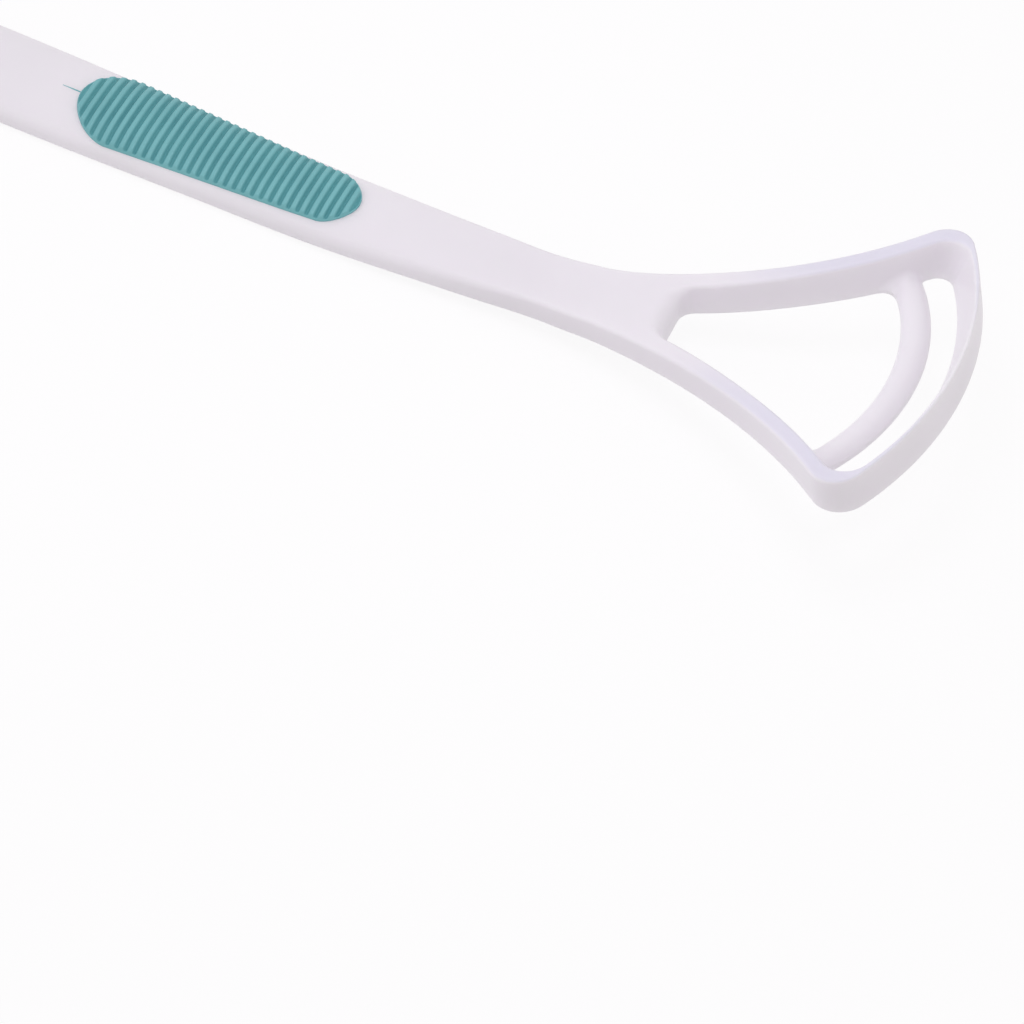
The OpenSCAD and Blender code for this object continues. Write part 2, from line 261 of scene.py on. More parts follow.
# %% The arm's outer side
HEAD_WIDTH, ARM_REACH, ARM_SPLAY = 37.4, 23.4, 40.4
LEAVE_SHARE, ARRIVE_SHARE = 0.45, 1.43
ARM_A = Vector((-WEB_LENGTH, NECK_WIDTH / 2))
ARM_B = Vector((ARM_REACH, HEAD_WIDTH / 2))
HALF_TAPER = (GRIP_WIDTH - NECK_WIDTH) / 2
SLOPE = steep(FORE_SHARES, len(FORE_SHARES) - 1) * HALF_TAPER / (S_BEND - S_WIDE)
LEAVE = LEAVE_SHARE * (ARM_REACH + WEB_LENGTH) * Vector((1, SLOPE))
ARRIVE = ARRIVE_SHARE * (ARM_REACH + WEB_LENGTH) * along(ARM_SPLAY)


def arm_at(t):
    """A point of the outer side at share t; past share 1 it runs straight on."""
    if t > 1:
        return ARM_B + (t - 1) * ARRIVE
    return flow(ARM_A, LEAVE, ARM_B, ARRIVE, t)


def arm_way(t):
    """The way the arm runs at share t."""
    if t > 1:
        return along(ARM_SPLAY)
    return (6 * t * (1 - t) * (ARM_B - ARM_A) + (1 - t) * (1 - 3 * t) * LEAVE
            + t * (3 * t - 2) * ARRIVE).normalized()


print("the arm leaves the neck at", round(math.degrees(math.atan(SLOPE)), 1), "degrees")

# %% The solver and the arm's inner side
ARM_GAIN, GAIN_SHARE = 0.3, 0.6
HALVINGS = 40


def solve(miss, lo, hi):
    """Where miss is zero between lo and hi, found by halving."""
    rising = miss(hi) > miss(lo)
    for _ in range(HALVINGS):
        mid = (lo + hi) / 2
        if (miss(mid) < 0) == rising:
            lo = mid
        else:
            hi = mid
    return (lo + hi) / 2


def inside(t, depth):
    """The point at a depth inside the arm's outer side."""
    return arm_at(t) + depth * right_of(arm_way(t))


def inner_side(t, wall):
    """The inner side, whose wall grows by ARM_GAIN towards the crotch."""
    gain = ARM_GAIN * (1 - ease(arm_at(t).x / (GAIN_SHARE * ARM_REACH)))
    return inside(t, wall + gain)


print("the wall gains", ARM_GAIN, "mm towards the crotch")

# %% Outer corner: straight on from the arm's end, then a round onto the blade's circle
BLADE_RADIUS, CORNER_ROUND = 38.0, 3.6
BLADE_C = Vector((HEAD_REACH - BLADE_RADIUS, 0))
SPLAY_WAY = along(ARM_SPLAY)
q = ARM_B + CORNER_ROUND * right_of(SPLAY_WAY) - BLADE_C
b, c = q.dot(SPLAY_WAY), q.dot(q) - (BLADE_RADIUS - CORNER_ROUND) ** 2
STRAIGHT = math.sqrt(b * b - c) - b
CORNER_C = BLADE_C + q + STRAIGHT * SPLAY_WAY
T_END = 1 + STRAIGHT / ARRIVE.length
CORNER_DEG = math.degrees(math.atan2(*(CORNER_C - BLADE_C).yx))
print("corner at", [round(v, 2) for v in CORNER_C], "angle", round(CORNER_DEG, 1))

# %% Inner corner at a level: 0 is the foot, 1 the rim
ARM_WALL, ARM_DRAFT, FOOT_FILLET, RIM_FILLET = 2.0, 0.9, 1.9, 3.2
BLADE_INNER, BLADE_FOOT, BLADE_EDGE = 33.0, 2.9, 0.4
INNER_C = Vector((HEAD_REACH - BLADE_FOOT - BLADE_INNER, 0))
CORNER_SHARES = 0.6, 1.4


def inner_corner(level, r):
    """The round of radius r between the arm's inner side and the blade's circle."""
    wall = ARM_WALL + ARM_DRAFT * (1 - level)
    radius = BLADE_INNER + (BLADE_FOOT - BLADE_EDGE) * level

    def centre(t):
        return inner_side(t, wall) + r * right_of(arm_way(t))
    t1 = solve(lambda t: (centre(t) - INNER_C).length - (radius - r), *CORNER_SHARES)
    m, d = centre(t1), arm_way(t1)
    return {"wall": wall, "radius": radius, "t1": t1, "centre": m, "r": r,
            "from": math.degrees(math.atan2(d.y, d.x)) + 90,
            "to": math.degrees(math.atan2(*(m - INNER_C).yx))}


LEVELS = [inner_corner(0, FOOT_FILLET), inner_corner(1, RIM_FILLET)]
print("inner rounds end at", [round(k["to"], 1) for k in LEVELS])

# %% [markdown]
# ## Where the arms fork
# At the crotch the neck's rows end on a short straight edge with a round at each side.
# The first row of the arm starts where that round meets the arm's inner side.

# %% Crotch
CROTCH_ROUND, CROTCH_COLS, CROTCH_FLAT = 2.0, 9, 3


def crotch_edge(wall):
    """Points along the crotch from the middle out, each with the way into the web."""
    t0 = solve(lambda t: arm_at(t).x - CROTCH_ROUND, 0, 1)
    d, p = arm_way(t0), inner_side(t0, wall)
    a = math.atan2(d.y, d.x)
    yc = p.y + (CROTCH_ROUND - p.x) * math.tan(a) - CROTCH_ROUND / math.cos(a)
    mid = Vector((CROTCH_ROUND, yc))
    edge = [(Vector((0, yc * i / CROTCH_FLAT)), along(180)) for i in range(CROTCH_FLAT)]
    turns = CROTCH_COLS - CROTCH_FLAT
    for i in range(turns + 1):
        n = along(180 - (90 - math.degrees(a)) * i / turns)
        edge.append((mid + CROTCH_ROUND * n, n))
    return edge


EDGES = [crotch_edge(k["wall"]) for k in LEVELS]
T_ROOT = solve(lambda t: inner_side(t, ARM_WALL).x - EDGES[1][-1][0].x, 0, 1)
print("the arm's first row is at share", round(T_ROOT, 3), "of its curve")

# %% [markdown]
# ## Stations round the head
# Each station has an outer point, and an inner point at the foot and at the rim. The
# blade is a wedge, because its foot and its rim have different inner circles.

# %% Stations
ARM_ROWS, CORNER_ROWS, BLADE_ROWS = 46, 20, 40


def stations():
    out = []
    for i in range(ARM_ROWS + 1):
        u = i / ARM_ROWS
        inner = [inner_side(mix(T_ROOT, k["t1"], u), k["wall"]) for k in LEVELS]
        if i == 0:
            inner = [e[-1][0] for e in EDGES]
        out.append((arm_at(mix(T_ROOT, T_END, u)), *inner))
    for i in range(1, CORNER_ROWS + 1):
        u = i / CORNER_ROWS
        outer = CORNER_C + CORNER_ROUND * along(mix(ARM_SPLAY + 90, CORNER_DEG, u))
        inner = [k["centre"] + k["r"] * along(mix(k["from"], k["to"], u))
                 for k in LEVELS]
        out.append((outer, *inner))
    for i in range(1, BLADE_ROWS + 1):
        u = 1 - i / BLADE_ROWS
        outer = BLADE_C + BLADE_RADIUS * along(CORNER_DEG * u)
        inner = [INNER_C + k["radius"] * along(k["to"] * u) for k in LEVELS]
        out.append((outer, *inner))
    return out


RING = stations()
print(len(RING), "stations from the fork to the blade's middle")

# %% [markdown]
# ## Sections
# One section is a closed chain: from the inner foot along the underside, up the outer
# wall, over the rim and down the inner wall. `corner` rounds one corner of it, and
# `in_head` sets points that are measured from the crotch on the spine.

# %% Section helpers
FOOT_COLS, ARC, WALL_ROWS, RIM_COLS = 4, 6, 4, 4
QUARTER = math.pi / 2


def in_head(x, y, z):
    return on_spine(x + S_CROTCH, y, z)


def top_of(p):
    """The point of the upper face that lies over a point of the plan."""
    return Vector((*p, thick(p.x + S_CROTCH)))


def corner(p, before, after, r):
    a, b = (before - p).normalized(), (after - p).normalized()
    out = []
    for i in range(ARC + 1):
        w = QUARTER * i / ARC
        out.append(p + r * ((1 - math.sin(w)) * a + (1 - math.cos(w)) * b))
    return out


def between(a, b, n):
    """The inner points of a line that is cut in n."""
    return [mix(a, b, i / n) for i in range(1, n)]


print("a round corner has", ARC + 1, "points")

# %% Sections of arms and blade
RIM_LIMIT = 0.42


def ring_section(outer, foot, rim):
    A, B, C, D = Vector((*outer, 0)), top_of(outer), top_of(rim), Vector((*foot, 0))
    top = min(RIM_ROUND, RIM_LIMIT * (C - B).length)
    a, b = corner(A, D, B, FOOT_ROUND), corner(B, A, C, top)
    c, d = corner(C, B, D, top), corner(D, C, A, FOOT_ROUND)
    out = [d[-1]] + between(d[-1], a[0], FOOT_COLS) + a
    out += between(a[-1], b[0], WALL_ROWS) + b + between(b[-1], c[0], RIM_COLS) + c
    out += between(c[-1], d[0], WALL_ROWS) + d[:-1]
    return [in_head(*p) for p in out]


SECTIONS = [ring_section(*station) for station in RING]
print(len(SECTIONS), "sections of", len(SECTIONS[0]), "points")

# %% [markdown]
# ## Rows of the grip, neck and web
# Each row is half a section, from the middle of the underside round to the middle of
# the crown. The web's rows bend as they near the fork, so that the last one lies along
# the crotch. There the rim is rounder than along the arms, as the photo's soft shading
# shows.

# %% Soft rim of the crotch
CROTCH_SOFT = 2.0


def crotch_soft(j):
    return mix(CROTCH_SOFT, RIM_ROUND, ease(j / CROTCH_COLS))


def crotch_points(level):
    """The points where the flat face ends and the round into the crotch begins."""
    return [p + (crotch_soft(j) if level else FOOT_ROUND) * n
            for j, (p, n) in enumerate(EDGES[level])]


CROTCH_ENDS = [crotch_points(0), crotch_points(1)]
print("the crotch's rim is rounded by", CROTCH_SOFT, "mm in the middle")

# %% [markdown]
# Every row has the same number of points, so that rows can be laid as one sheet. Grip
# rows are flat cross sections. The web's rows are not: a fan of quads round the crotch
# would pinch, so they turn little by little from straight across to the crotch's line.


# %% Half a section of the grip
def grip_row(s, half):
    """The crown stays a crown right up to its round edge."""
    y0, zc, r, ye, _, _, lean = top_parts(s, half)
    rb = min(lower_round(s), half * ROUND_LIMIT)
    zb = tail_drop(s, LOWER_ROUND)
    cols = CROTCH_COLS + FOOT_COLS
    out = [(mix(0, half - rb, i / cols), zb) for i in range(cols)]
    for i in range(ARC + 1):
        w = QUARTER * i / ARC
        out.append((half - rb + rb * math.sin(w), zb + rb - rb * math.cos(w)))
    out += [(half, z) for z in between(zb + rb, zc, WALL_ROWS)]
    for i in range(ARC + 1):
        w = (QUARTER - lean) * i / ARC
        out.append((y0 + r * math.cos(w), zc + r * math.sin(w)))
    cols = CROTCH_COLS + RIM_COLS
    for i in range(1, cols + 1):
        y = mix(ye, 0, i / cols)
        out.append((y, top_z(s, half, y)))
    return out


print("a grip row has", len(grip_row(S_WIDE, grip_half(S_WIDE))), "points")


# %% Half a section of the web
def web_flat(u, level, r, cols):
    """Columns from the middle out to the edge's round, on the underside or the top."""
    last, root = inside(u * T_ROOT, r), inside(T_ROOT, r)
    ends = CROTCH_ENDS[level] + between(CROTCH_ENDS[level][-1], root, cols)
    row = []
    for j, end in enumerate(ends):
        share = mix(j / len(ends), end.y / root.y, ease(u))
        row.append(Vector((mix(-WEB_LENGTH, end.x, u), last.y * share)))
    return row + [last]


def web_row(u):
    """At share u of the web: straight across at 0, along the crotch's edge at 1."""
    t = u * T_ROOT
    outer = arm_at(t)
    tall = thick(outer.x + S_CROTCH)
    row = [(*p, 0) for p in web_flat(u, 0, FOOT_ROUND, FOOT_COLS)]
    for i in range(1, ARC + 1):
        w = QUARTER * i / ARC
        p = inside(t, FOOT_ROUND * (1 - math.sin(w)))
        row.append((*p, FOOT_ROUND * (1 - math.cos(w))))
    row += [(*outer, z) for z in between(FOOT_ROUND, tall - RIM_ROUND, WALL_ROWS)]
    for i in range(ARC):
        w = QUARTER * i / ARC
        p = inside(t, RIM_ROUND * (1 - math.cos(w)))
        row.append((*p, tall - RIM_ROUND * (1 - math.sin(w))))
    top = web_flat(u, 1, RIM_ROUND, RIM_COLS)
    return row + [(*p, thick(p.x + S_CROTCH)) for p in reversed(top)]


print("a web row has", len(web_row(1)), "points")

# %% All rows, from the tail to the crotch
TAIL_LENGTH, TAIL_TIP = 5.6, 0.12
TAIL_ROWS, GRIP_ROWS, WEB_ROWS = 16, 92, 16
rows = []
for i in range(TAIL_ROWS + 1):
    w = QUARTER * max(i, TAIL_TIP) / TAIL_ROWS
    s = TAIL_LENGTH * (1 - math.cos(w))
    rows.append([on_spine(s, *p) for p in grip_row(s, grip_half(s) * math.sin(w))])
for i in range(1, GRIP_ROWS + 1):
    s = mix(TAIL_LENGTH, S_BEND, i / GRIP_ROWS)
    rows.append([on_spine(s, *p) for p in grip_row(s, grip_half(s))])
for i in range(1, WEB_ROWS + 1):
    rows.append([in_head(*p) for p in web_row(i / WEB_ROWS)])
print(len(rows), "rows of", {len(r) for r in rows}, "points")


# %% Wall of the crotch: over the rim's round, down, and round under the foot
def crotch_sheet():
    table = []
    for j in range(CROTCH_COLS + 1):
        (low, low_way), (high, high_way) = EDGES[0][j], EDGES[1][j]
        D, A = Vector((*low, 0)), Vector((*(low + low_way), 0))
        C, B = top_of(high), top_of(high + high_way)
        c, d = corner(C, B, D, crotch_soft(j)), corner(D, C, A, FOOT_ROUND)
        chain = c + between(c[-1], d[0], WALL_ROWS) + d
        table.append([in_head(*p) for p in chain])
    return table


print("the crotch's wall has", len(crotch_sheet()), "columns")

# %% [markdown]
# ## Laying the sheets
# `sheet` makes a grid with the operator and moves its points to their places. A closed
# ring is a grid whose first and last columns meet, and is welded afterwards. `whole_of`
# makes the second half: a mirror keeps both sides alike, which modelling each wouldn't.

# %% Sheets
WELD = 0.015 * MM


def sheet(bm, table, closed=False):
    nu, nv = len(table) - 1, len(table[0]) - (0 if closed else 1)
    grid = bmesh.ops.create_grid(bm, x_segments=nu, y_segments=nv, size=1.0)
    for v in grid["verts"]:
        i, j = round((v.co.x + 1) / 2 * nu), round((v.co.y + 1) / 2 * nv)
        v.co = table[i][j % len(table[0])]


def whole_of(bm):
    """Weld a half, mirror it across the middle plane and fill what is still open."""
    bmesh.ops.remove_doubles(bm, verts=bm.verts, dist=WELD)
    half = bm.verts[:] + bm.edges[:] + bm.faces[:]
    bmesh.ops.mirror(bm, geom=half, matrix=Matrix.Identity(4), merge_dist=WELD,
                     axis="Y")
    bmesh.ops.holes_fill(bm, edges=[e for e in bm.edges if len(e.link_faces) == 1])


def unshared(bm):
    """How many edges aren't shared by two faces; a closed skin has none."""
    return sum(1 for e in bm.edges if len(e.link_faces) != 2)


print("points closer than", round(WELD / MM, 4), "mm are welded")


# %% From a bmesh to an object
def piece(name, bm, material, smooth=True):
    bmesh.ops.remove_doubles(bm, verts=bm.verts, dist=WELD)
    bmesh.ops.dissolve_degenerate(bm, edges=bm.edges, dist=WELD)
    bmesh.ops.recalc_face_normals(bm, faces=bm.faces)
    for f in bm.faces:
        f.smooth = smooth
    mesh = bpy.data.meshes.new(name)
    bm.to_mesh(mesh)
    bm.free()
    obj = bpy.data.objects.new(name, mesh)
    bpy.context.collection.objects.link(obj)
    mesh.materials.append(material)
    places = [[v.co[k] / MM for v in mesh.vertices] for k in range(3)]
    print(name, len(mesh.polygons), "faces, box in mm",
          [round(min(p), 2) for p in places], [round(max(p), 2) for p in places])
    return obj


def mark(mesh, name, value_at):
    """Give each point of a mesh a value, for the mesh's material to read."""
    layer = mesh.attributes.new(name, "FLOAT", "POINT")
    for v in mesh.vertices:
        layer.data[v.index].value = value_at(v)
    print(name, "is high on", sum(1 for d in layer.data if d.value > 0.5), "points")


print("every piece is welded, faces outwards and lies at the origin")

# %% [markdown]
# ## Effects that both plastics share
# A moulded skin isn't flat: it ripples slowly where the plastic shrank, it has a fine
# orange-peel, and it gathers handling marks. Its colour drifts a little too. These two
# effects are node groups, so each material sets its own strength of the same effect.


# %% Helpers for nodes
def set_sockets(node, **values):
    """Set a node's sockets by name, with _ for a space, as in From_Min=0.6."""
    for name, value in values.items():
        node.inputs[name.replace("_", " ")].default_value = value
    return node


def maths(nodes, link, operation, a, b):
    """A Math node on an output, and on a second output or a number."""
    node = nodes.new("ShaderNodeMath")
    node.operation = operation
    link(a, node.inputs[0])
    if isinstance(b, float):
        node.inputs[1].default_value = b
    else:
        link(b, node.inputs[1])
    return node.outputs[0]


def group(name, inputs, outputs):
    """A node group with its sockets, its input node and its output node."""
    tree = bpy.data.node_groups.new(name, "ShaderNodeTree")
    for label, kind, value in inputs:
        socket = tree.interface.new_socket(name=label, in_out="INPUT",
                                           socket_type="NodeSocket" + kind)
        socket.default_value = value
    for label, kind in outputs:
        tree.interface.new_socket(name=label, in_out="OUTPUT",
                                  socket_type="NodeSocket" + kind)
    return tree, tree.nodes.new("NodeGroupInput"), tree.nodes.new("NodeGroupOutput")


print("node groups so far:", len(bpy.data.node_groups))


# %% Moulded skin
def skin_group():
    """Height of a moulded skin: slow ripples, fine orange-peel and a few marks."""
    tree, given, made = group("Moulded skin", [("Ripple", "Float", 0.5),
                                               ("Peel", "Float", 0.2),
                                               ("Marks", "Float", 0.2)],
                              [("Height", "Float")])
    new, link = tree.nodes.new, tree.links.new
    place = new("ShaderNodeTexCoord").outputs["Object"]
    slow = set_sockets(new("ShaderNodeTexNoise"), Scale=140, Detail=2)
    fine = set_sockets(new("ShaderNodeTexNoise"), Scale=1900, Detail=3)
    streaks = set_sockets(new("ShaderNodeMapping"), Scale=(60, 900, 300),
                          Rotation=(0, 0, 0.35))
    marks = set_sockets(new("ShaderNodeTexNoise"), Scale=1.0, Detail=4)
    cut = set_sockets(new("ShaderNodeMapRange"), From_Min=0.62, From_Max=0.74)
    for node in (slow, fine, streaks):
        link(place, node.inputs["Vector"])
    link(streaks.outputs["Vector"], marks.inputs["Vector"])
    link(marks.outputs["Fac"], cut.inputs["Value"])
    ripple, peel, mark_depth = (
        maths(tree.nodes, link, "MULTIPLY", effect, given.outputs[label])
        for effect, label in ((slow.outputs["Fac"], "Ripple"),
                              (fine.outputs["Fac"], "Peel"),
                              (cut.outputs["Result"], "Marks")))
    height = maths(tree.nodes, link, "ADD", ripple, peel)
    height = maths(tree.nodes, link, "SUBTRACT", height, mark_depth)
    link(height, made.inputs["Height"])
    return tree


SKIN = skin_group()
print("moulded skin has", len(SKIN.nodes), "nodes")


# %% Drifting tone
def tone_group():
    """A base colour that drifts with slow noise, and how dull the surface is there."""
    tree, given, made = group("Drifting tone", [("Light", "Color", (0.8, 0.8, 0.8, 1)),
                                                ("Shade", "Color", (0.7, 0.7, 0.7, 1)),
                                                ("Scale", "Float", 60.0)],
                              [("Color", "Color"), ("Dull", "Float")])
    new, link = tree.nodes.new, tree.links.new
    place = new("ShaderNodeTexCoord").outputs["Object"]
    noise = set_sockets(new("ShaderNodeTexNoise"), Detail=4)
    ramp = set_sockets(new("ShaderNodeMapRange"), From_Min=0.35, From_Max=0.7)
    blend = new("ShaderNodeMix")
    blend.data_type = "RGBA"
    link(place, noise.inputs["Vector"])
    link(given.outputs["Scale"], noise.inputs["Scale"])
    link(noise.outputs["Fac"], ramp.inputs["Value"])
    link(ramp.outputs["Result"], blend.inputs["Factor"])
    link(given.outputs["Light"], blend.inputs["A"])
    link(given.outputs["Shade"], blend.inputs["B"])
    link(blend.outputs["Result"], made.inputs["Color"])
    link(ramp.outputs["Result"], made.inputs["Dull"])
    return tree


TONE = tone_group()
print("drifting tone has", len(TONE.nodes), "nodes")


# %% Helpers that start a material, place a group in it and finish its surface
def material(name):
    m = bpy.data.materials.new(name)
    m.use_nodes = True
    nodes = m.node_tree.nodes
    return m, nodes, m.node_tree.links.new, nodes["Principled BSDF"]


def use(nodes, tree, **values):
    node = nodes.new("ShaderNodeGroup")
    node.node_tree = tree
    return set_sockets(node, **values)


def mesh_value(nodes, name):
    node = nodes.new("ShaderNodeAttribute")
    node.attribute_name = name
    return node.outputs["Fac"]


def surface(nodes, link, bsdf, share, rough, skin, strength, depth):
    """Roughness that goes from one value to the other with a share, and a skin."""
    span = set_sockets(nodes.new("ShaderNodeMapRange"), To_Min=rough[0],
                       To_Max=rough[1])
    bump = set_sockets(nodes.new("ShaderNodeBump"), Strength=strength, Distance=depth)
    link(share, span.inputs["Value"])
    link(span.outputs["Result"], bsdf.inputs["Roughness"])
    link(skin.outputs["Height"], bump.inputs["Height"])
    link(bump.outputs["Normal"], bsdf.inputs["Normal"])


print("node groups ready:", sorted(g.name for g in bpy.data.node_groups))

# %% [markdown]
# ## The white moulding's material
# Polypropylene is nearly white and a little milky: light enters, scatters for a
# millimetre or two and comes out again, which lightens thin walls such as the arms.
# Plain diffuse white would look like plaster, so part of the colour is given to
# subsurface scattering. The rims of arms and corners that face up get painted shade:
# their colour is multiplied by a pale blue-grey, a cooler, dimmer tone. Where it goes
# could be worked out by the shader; a value on the mesh is plainer.

# %% White polypropylene
WHITE, nodes, link, bsdf = material("White polypropylene")
set_sockets(bsdf, IOR=1.49, Specular_IOR_Level=0.2, Subsurface_Weight=0.35,
            Subsurface_Radius=(0.0022, 0.002, 0.0022), Subsurface_Scale=1.0)
tone = use(nodes, TONE, Light=(0.82, 0.79, 0.83, 1), Shade=(0.795, 0.765, 0.805, 1),
           Scale=55.0)
# Painted cool shade: the rims' colour is multiplied by a pale blue-grey.
rim_shade_tint = nodes.new("ShaderNodeMix")
rim_shade_tint.data_type, rim_shade_tint.blend_type = "RGBA", "MULTIPLY"
set_sockets(rim_shade_tint, B=(0.9, 0.91, 0.975, 1))
link(mesh_value(nodes, "rim"), rim_shade_tint.inputs["Factor"])
link(tone.outputs["Color"], rim_shade_tint.inputs["A"])
link(rim_shade_tint.outputs["Result"], bsdf.inputs["Base Color"])
surface(nodes, link, bsdf, tone.outputs["Dull"], rough=(0.3, 0.42),
        skin=use(nodes, SKIN, Ripple=0.5, Peel=0.12, Marks=0.1), strength=0.25,
        depth=0.08 * MM)
print("white material has", len(nodes), "nodes")

# %% [markdown]
# ## The white moulding
# Three sheets make the left half: grip to fork, the crotch's wall, and the ring of arm,
# corner and blade. They share their border points exactly, so they are simply welded,
# and the half is mirrored.

# %% The moulding without its bar
bm = bmesh.new()
sheet(bm, rows)
sheet(bm, crotch_sheet())
sheet(bm, SECTIONS, closed=True)
whole_of(bm)
print("edges that aren't shared by two faces:", unshared(bm))
body = piece("moulding", bm, WHITE)

# %% [markdown]
# ## The bar
# On the real head the bar runs into both arms with a fillet: wide on the window's side,
# small on the slot's side. A Boolean union and a bevel could round the seam, but the
# seam is too crooked for an even bevel. Here each long line of the bar is followed to
# the place where it would hit the wall, and leaves it on a curve that ends flat against
# the wall. The curve ends a hair inside the wall, so that no step is left there.

# %% Where the bar's lines hit the wall
SLOT_WIDTH, BAR_WIDTH, BAR_HEIGHT, BAR_RADIUS = 2.6, 3.4, 1.6, 24.8
BAR_OUT = HEAD_REACH - BLADE_FOOT - SLOT_WIDTH
BAR_C = Vector((BAR_OUT - BAR_WIDTH / 2 - BAR_RADIUS, 0))
HIT_DEGREES = 15, 60


def wall_share(x, k):
    return solve(lambda t: inner_side(t, k["wall"]).x - x, 0, k["t1"])


def wall_y(x, z):
    """How far from the middle the arm's inner wall stands, at a place and a height."""
    foot, rim = (inner_side(wall_share(x, k), k["wall"]).y for k in LEVELS)
    return mix(foot, rim, z / thick(x + S_CROTCH))


def hit(out, z):
    """The angle, about the bar's centre, at which a line of the bar meets the wall."""
    def miss(deg):
        p = BAR_C + (BAR_RADIUS + out) * along(deg)
        return p.y - wall_y(p.x, z)
    return solve(miss, *HIT_DEGREES)


print("the bar meets the arms at", round(hit(0, BAR_HEIGHT / 2), 1), "degrees")

# %% [markdown]
# The bar's section is a flat foot with a round back. Each point also carries the way it
# faces, sideways and up, because that decides how far its line flares along the wall.

# %% The bar's section, with the way each of its points faces
BAR_BACK, BAR_LIFT = 1.9, 0.1
BACK_STEPS, SIDE_STEPS, FOOT_STEPS = 16, 3, 8


def bar_outline():
    half, back = BAR_WIDTH / 2, BAR_HEIGHT - BAR_BACK
    a0 = math.acos(half / BAR_BACK)
    out = []
    for i in range(BACK_STEPS + 1):
        w = mix(a0, math.pi - a0, i / BACK_STEPS)
        up = (math.sin(w) - math.sin(a0)) / (1 - math.sin(a0))
        out.append((BAR_BACK * math.cos(w), back + BAR_BACK * math.sin(w),
                    math.cos(w) / math.cos(a0), up))
    low = out[-1][1]
    for i in range(1, SIDE_STEPS + 1):
        out.append((-half, mix(low, BAR_LIFT, i / SIDE_STEPS), -1, 0))
    for i in range(1, FOOT_STEPS + 1):
        u = i / FOOT_STEPS
        out.append((mix(-half, half, u), BAR_LIFT, mix(-1, 1, u), 0))
    for i in range(1, SIDE_STEPS):
        out.append((half, mix(BAR_LIFT, low, i / SIDE_STEPS), 1, 0))
    return out


OUTLINE = bar_outline()
print(len(OUTLINE), "points round the bar")

# %% One long line of the bar, from its middle into the wall
FLARE_IN, FLARE_OUT, FLARE_UP, FLARE_LEAST = 2.2, 0.6, 0.9, 0.12
BITE, SINK = 0.004, 0.4
SWEEP, FILLET = 36, 8
WALL_SKIN = BVHTree.FromObject(body, bpy.context.evaluated_depsgraph_get())


def bar_line(out, z, face_x, face_z):
    side_run = (FLARE_OUT if face_x > 0 else FLARE_IN) * face_x * abs(face_x)
    up_run = FLARE_UP * face_z
    run = max(FLARE_LEAST, math.hypot(side_run, up_run))
    end = hit(out, z)
    leave = end - math.degrees(run / BAR_RADIUS)
    points = [(BAR_C + (BAR_RADIUS + out) * along(leave * i / SWEEP), z)
              for i in range(SWEEP + 1)]
    p0, p1 = points[-1][0], BAR_C + (BAR_RADIUS + out) * along(end)
    way = arm_way(wall_share(p1.x, LEVELS[0]))
    x2, z2 = p1.x + side_run * way.x, z + up_run
    p2 = Vector((x2, wall_y(x2, z2)))
    for i in range(1, FILLET + 1):
        u = i / FILLET
        points.append((mix(mix(p0, p1, u), mix(p1, p2, u), u), mix(z, z2, u * u)))
    placed = [in_head(*p, h) for p, h in points]
    wall, facing = WALL_SKIN.find_nearest(placed[-1])[:2]
    shift = wall - BITE * MM * facing - placed[-1]
    for i in range(1, FILLET + 1):
        placed[SWEEP + i] += (i / FILLET) ** 2 * shift
    return placed + [wall - SINK * MM * facing]


lines = [bar_line(*p) for p in OUTLINE]
print("one line of the bar has", len(lines[0]), "points")

# %% The bar
bm = bmesh.new()
sheet(bm, [list(ring) for ring in zip(*lines)], closed=True)
whole_of(bm)
bar = piece("round_bar", bm, WHITE)

# %% [markdown]
# ## One moulding
# Bar and arms come out of one mould in one shot, so there is no wall between them.
# Light that scatters inside the plastic would show such a wall as a dark line. A
# Boolean union takes the hidden ends away and leaves one closed skin. It works only
# because both pieces are closed; the bar's square foot then keeps its sharp edges by
# their angle.

# %% Union of the moulding and the bar
SHARP_ANGLE = math.radians(35)
join = body.modifiers.new("Bar joined", "BOOLEAN")
join.operation, join.solver, join.object = "UNION", "EXACT", bar
joined = body.evaluated_get(bpy.context.evaluated_depsgraph_get())
whole = bpy.data.meshes.new_from_object(joined)
body.modifiers.clear()
body.data = whole
bpy.data.objects.remove(bar)
whole.set_sharp_from_angle(angle=SHARP_ANGLE)
bm = bmesh.new()
bm.from_mesh(whole)
print("one moulding:", len(bm.faces), "faces,", unshared(bm), "open edges,",
      "longest seam face has", max(len(f.verts) for f in bm.faces), "corners")
bm.free()

# %% [markdown]
# The rims are the faces of the head that look up and stand well above its foot, which
# leaves out the low bar. Their value, the share of painted cool shade, grows towards
# the sides, away from web and blade.

# %% Where the rims get painted cool shade
FORK, FRONT = on_spine(S_CROTCH, 0, 0), on_spine(S_FRONT, 0, 0)
AHEAD, TALL, UPWARD, ASIDE = (0, 8), (2.5, 1.5), (0.45, 0.45), (4, 9)


def painted_rim_shade(v):
    """Each factor is a smooth step, with its start and its span."""
    ahead = v.co.x - FORK.x
    tall = v.co.z - mix(FORK.z, FRONT.z, ahead / (FRONT.x - FORK.x))
    return (rise(ahead / MM, *AHEAD) * rise(tall / MM, *TALL)
            * rise(v.normal.z, *UPWARD) * rise(abs(v.co.y) / MM, *ASIDE))


# The 'rim' value on the mesh says where the painted cool shade goes.
mark(whole, "rim", painted_rim_shade)

# %% [markdown]
# ## The pad's plan and surface
# The pad follows the crown. Its outline is a taper with full round ends. The distance
# to the outline drives both the rolled border and the place where each rib fades out.

# %% Outline of the pad
PAD_LENGTH, PAD_REAR, PAD_FRONT, PAD_LEAD = 36.1, 11.5, 7.6, 5.9
PAD_F = GRIP_LENGTH + PAD_LEAD
PAD_R = PAD_F - PAD_LENGTH
END_POWER = 1.8
PROBE, LEAST_SLOPE = 0.01, 0.05


